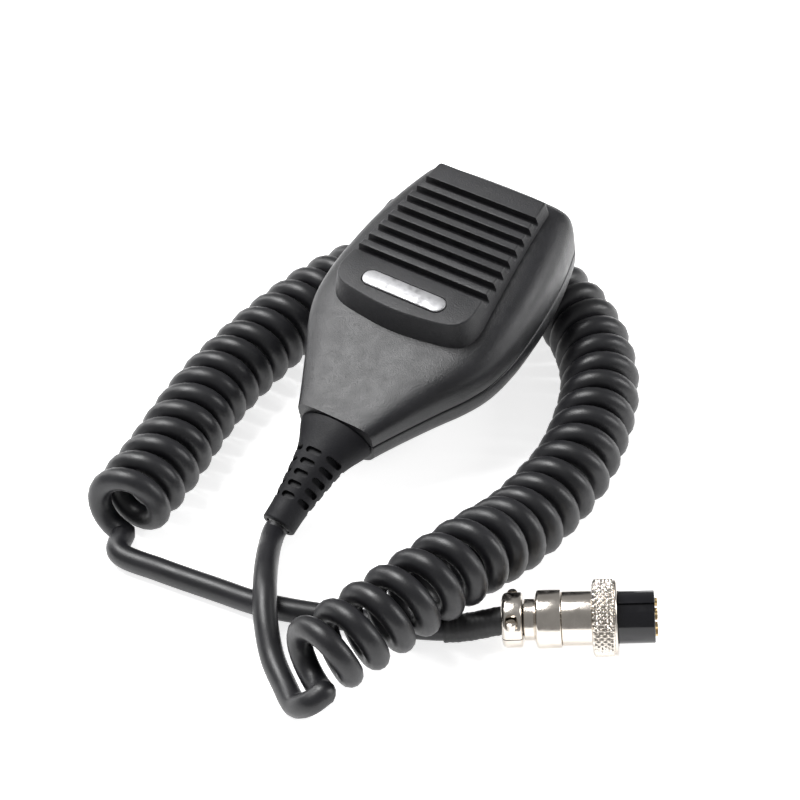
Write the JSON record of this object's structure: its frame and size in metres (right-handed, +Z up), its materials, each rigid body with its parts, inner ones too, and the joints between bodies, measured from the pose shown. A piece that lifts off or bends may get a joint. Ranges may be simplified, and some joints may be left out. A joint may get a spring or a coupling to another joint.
{
  "type": "hand microphone",
  "caption": "Hand-held radio microphone with a slotted grille block, a side press-to-talk bar, end buttons, a rubber strain relief, a curly cord and a round threaded-ring plug.",
  "frame": {"origin": "on the surface it lies on, below the centre of the box round the microphone without its cord", "axes": "+Z up; +Y towards the head of the microphone, which lies face up with its head raised 12 degrees on its own cord; +X to its right as seen from the front"},
  "size_m": [0.1548, 0.1773, 0.0519],
  "materials": {
    "case_black": "fine satin texture",
    "button_black": "satin",
    "boot_rubber": "matte moulded rubber",
    "cord_black": "satin jacket",
    "sleeve_black": "satin heat-shrink",
    "insert_black": "glossy moulded resin",
    "label_silver": "brushed, blank",
    "nickel_plate": "bright nickel",
    "screw_steel": "zinc plated",
    "contact_gold": "gold flashed",
    "board_green": "solder mask",
    "switch_grey": "moulded",
    "capsule_metal": "drawn can",
    "holder_rubber": "matte",
    "felt_black": "felt"
  },
  "bodies": {
    "microphone": {"front_shell": "case_black", "rear_shell": "case_black", "label_plate": "label_silver", "ptt_pivot_pin": "screw_steel", "ptt_switch_body": "switch_grey", "up_switch": "switch_grey", "down_switch": "switch_grey", "circuit_board": "board_green", "mic_capsule": "capsule_metal", "capsule_holder": "holder_rubber", "grille_felt": "felt_black", "case_screw_1": "screw_steel", "case_screw_2": "screw_steel", "case_screw_3": "screw_steel", "case_screw_4": "screw_steel", "hanger_stud": "nickel_plate", "hanger_screw": "screw_steel", "strain_relief": "boot_rubber", "inner_lead": "cord_black", "cord_clamp": "screw_steel", "cord_clamp_screw_1": "screw_steel", "cord_clamp_screw_2": "screw_steel", "mic_lead": "cord_black", "curly_cord": "cord_black", "plug_lead": "cord_black", "heat_shrink_sleeve": "sleeve_black", "cable_saddle_upper": "nickel_plate", "cable_saddle_lower": "nickel_plate", "saddle_screw_1": "nickel_plate", "saddle_screw_2": "nickel_plate", "plug_back_shell": "nickel_plate", "plug_barrel": "nickel_plate", "contact_insert": "insert_black", "contact_socket_1": "contact_gold", "contact_socket_2": "contact_gold", "contact_socket_3": "contact_gold", "contact_socket_4": "contact_gold", "contact_socket_5": "contact_gold", "contact_socket_6": "contact_gold", "contact_socket_7": "contact_gold", "contact_socket_8": "contact_gold"},
    "talk_bar": {"ptt_bar": "button_black"},
    "talk_plunger": {"ptt_switch_plunger": "switch_grey"},
    "up_key": {"up_button": "button_black"},
    "down_key": {"down_button": "button_black"},
    "plug_ring": {"coupling_ring": "nickel_plate"}
  },
  "joints": [
    {"name": "talk_press", "type": "hinge", "parent": "microphone", "child": "talk_bar", "pos_m": [-0.02527, 0.01541, 0.02661], "axis": [0, 0.2079, -0.9781], "range_deg": [0, 3.5], "stiffness_Nm_per_rad": 0.6, "springref_deg": -2.29},
    {"name": "talk_plunger_travel", "type": "slide", "parent": "microphone", "child": "talk_plunger", "axis": [1, 0, 0], "range_m": [0, 0.0013]},
    {"name": "up_press", "type": "slide", "parent": "microphone", "child": "up_key", "axis": [0, -0.9781, -0.2079], "range_m": [0, 0.0008], "stiffness_N_per_m": 400, "springref_m": -0.001},
    {"name": "down_press", "type": "slide", "parent": "microphone", "child": "down_key", "axis": [0, -0.9781, -0.2079], "range_m": [0, 0.0008], "stiffness_N_per_m": 400, "springref_m": -0.001},
    {"name": "ring_spin", "type": "hinge", "parent": "microphone", "child": "plug_ring", "pos_m": [0.08923, -0.04201, 0.00976], "axis": [0.8601, 0.4997, 0.1026], "continuous": true}
  ],
  "couplings": [
    {"joint": "talk_plunger_travel", "follows": "talk_press", "m_per_rad": 0.0208}
  ]
}
